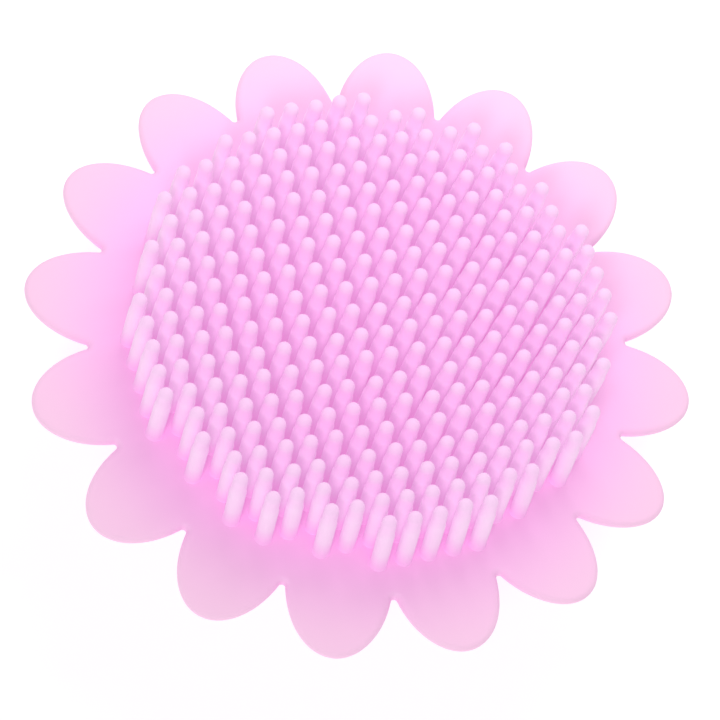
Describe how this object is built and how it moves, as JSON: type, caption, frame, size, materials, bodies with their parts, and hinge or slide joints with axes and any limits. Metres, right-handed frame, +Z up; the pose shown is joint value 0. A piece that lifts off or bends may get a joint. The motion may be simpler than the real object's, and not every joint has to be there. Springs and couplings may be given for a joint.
{
  "type": "facial cleansing brush",
  "caption": "Flower-shaped soft silicone facial cleansing brush: a dense bristle field, thin petals that bend at their roots, and a suction cup on the back to hold it by.",
  "frame": {"origin": "centre of the suction cup's rim, on the surface that the brush stands on", "axes": "+Z up out of the bristles, +X along the first petal"},
  "size_m": [0.064, 0.064, 0.025],
  "materials": {
    "silicone_bristles": "translucent satin silicone",
    "silicone_petals": "translucent satin silicone, thin and paler",
    "silicone_back": "translucent satin silicone",
    "silicone_cup": "translucent smooth silicone"
  },
  "bodies": {
    "flower": {"bristle_disc": "silicone_bristles", "back_plate": "silicone_back", "socket_boss": "silicone_back"},
    "petal_01": {"petal_01": "silicone_petals"},
    "petal_02": {"petal_02": "silicone_petals"},
    "petal_03": {"petal_03": "silicone_petals"},
    "petal_04": {"petal_04": "silicone_petals"},
    "petal_05": {"petal_05": "silicone_petals"},
    "petal_06": {"petal_06": "silicone_petals"},
    "petal_07": {"petal_07": "silicone_petals"},
    "petal_08": {"petal_08": "silicone_petals"},
    "petal_09": {"petal_09": "silicone_petals"},
    "petal_10": {"petal_10": "silicone_petals"},
    "petal_11": {"petal_11": "silicone_petals"},
    "petal_12": {"petal_12": "silicone_petals"},
    "petal_13": {"petal_13": "silicone_petals"},
    "petal_14": {"petal_14": "silicone_petals"},
    "petal_15": {"petal_15": "silicone_petals"},
    "petal_16": {"petal_16": "silicone_petals"},
    "cup": {"suction_cup": "silicone_cup"}
  },
  "joints": [
    {"name": "petal_01_bend", "type": "hinge", "parent": "flower", "child": "petal_01", "pos_m": [0.02528, 0, 0.0164], "axis": [0, -1, 0], "range_deg": [-80, 80], "stiffness_Nm_per_rad": 0.0006},
    {"name": "petal_02_bend", "type": "hinge", "parent": "flower", "child": "petal_02", "pos_m": [0.02336, 0.00967, 0.0164], "axis": [0.3827, -0.9239, 0], "range_deg": [-80, 80], "stiffness_Nm_per_rad": 0.0006},
    {"name": "petal_03_bend", "type": "hinge", "parent": "flower", "child": "petal_03", "pos_m": [0.01788, 0.01788, 0.0164], "axis": [0.7071, -0.7071, 0], "range_deg": [-80, 80], "stiffness_Nm_per_rad": 0.0006},
    {"name": "petal_04_bend", "type": "hinge", "parent": "flower", "child": "petal_04", "pos_m": [0.00967, 0.02336, 0.0164], "axis": [0.9239, -0.3827, 0], "range_deg": [-80, 80], "stiffness_Nm_per_rad": 0.0006},
    {"name": "petal_05_bend", "type": "hinge", "parent": "flower", "child": "petal_05", "pos_m": [0, 0.02528, 0.0164], "axis": [1, 0, 0], "range_deg": [-80, 80], "stiffness_Nm_per_rad": 0.0006},
    {"name": "petal_06_bend", "type": "hinge", "parent": "flower", "child": "petal_06", "pos_m": [-0.00967, 0.02336, 0.0164], "axis": [0.9239, 0.3827, 0], "range_deg": [-80, 80], "stiffness_Nm_per_rad": 0.0006},
    {"name": "petal_07_bend", "type": "hinge", "parent": "flower", "child": "petal_07", "pos_m": [-0.01788, 0.01788, 0.0164], "axis": [0.7071, 0.7071, 0], "range_deg": [-80, 80], "stiffness_Nm_per_rad": 0.0006},
    {"name": "petal_08_bend", "type": "hinge", "parent": "flower", "child": "petal_08", "pos_m": [-0.02336, 0.00967, 0.0164], "axis": [0.3827, 0.9239, 0], "range_deg": [-80, 80], "stiffness_Nm_per_rad": 0.0006},
    {"name": "petal_09_bend", "type": "hinge", "parent": "flower", "child": "petal_09", "pos_m": [-0.02528, 0, 0.0164], "axis": [0, 1, 0], "range_deg": [-80, 80], "stiffness_Nm_per_rad": 0.0006},
    {"name": "petal_10_bend", "type": "hinge", "parent": "flower", "child": "petal_10", "pos_m": [-0.02336, -0.00967, 0.0164], "axis": [-0.3827, 0.9239, 0], "range_deg": [-80, 80], "stiffness_Nm_per_rad": 0.0006},
    {"name": "petal_11_bend", "type": "hinge", "parent": "flower", "child": "petal_11", "pos_m": [-0.01788, -0.01788, 0.0164], "axis": [-0.7071, 0.7071, 0], "range_deg": [-80, 80], "stiffness_Nm_per_rad": 0.0006},
    {"name": "petal_12_bend", "type": "hinge", "parent": "flower", "child": "petal_12", "pos_m": [-0.00967, -0.02336, 0.0164], "axis": [-0.9239, 0.3827, 0], "range_deg": [-80, 80], "stiffness_Nm_per_rad": 0.0006},
    {"name": "petal_13_bend", "type": "hinge", "parent": "flower", "child": "petal_13", "pos_m": [0, -0.02528, 0.0164], "axis": [-1, 0, 0], "range_deg": [-80, 80], "stiffness_Nm_per_rad": 0.0006},
    {"name": "petal_14_bend", "type": "hinge", "parent": "flower", "child": "petal_14", "pos_m": [0.00967, -0.02336, 0.0164], "axis": [-0.9239, -0.3827, 0], "range_deg": [-80, 80], "stiffness_Nm_per_rad": 0.0006},
    {"name": "petal_15_bend", "type": "hinge", "parent": "flower", "child": "petal_15", "pos_m": [0.01788, -0.01788, 0.0164], "axis": [-0.7071, -0.7071, 0], "range_deg": [-80, 80], "stiffness_Nm_per_rad": 0.0006},
    {"name": "petal_16_bend", "type": "hinge", "parent": "flower", "child": "petal_16", "pos_m": [0.02336, -0.00967, 0.0164], "axis": [-0.3827, -0.9239, 0], "range_deg": [-80, 80], "stiffness_Nm_per_rad": 0.0006},
    {"name": "cup_swivel", "type": "hinge", "parent": "flower", "child": "cup", "pos_m": [0, 0, 0.013], "axis": [0, 0, 1], "continuous": true}
  ]
}
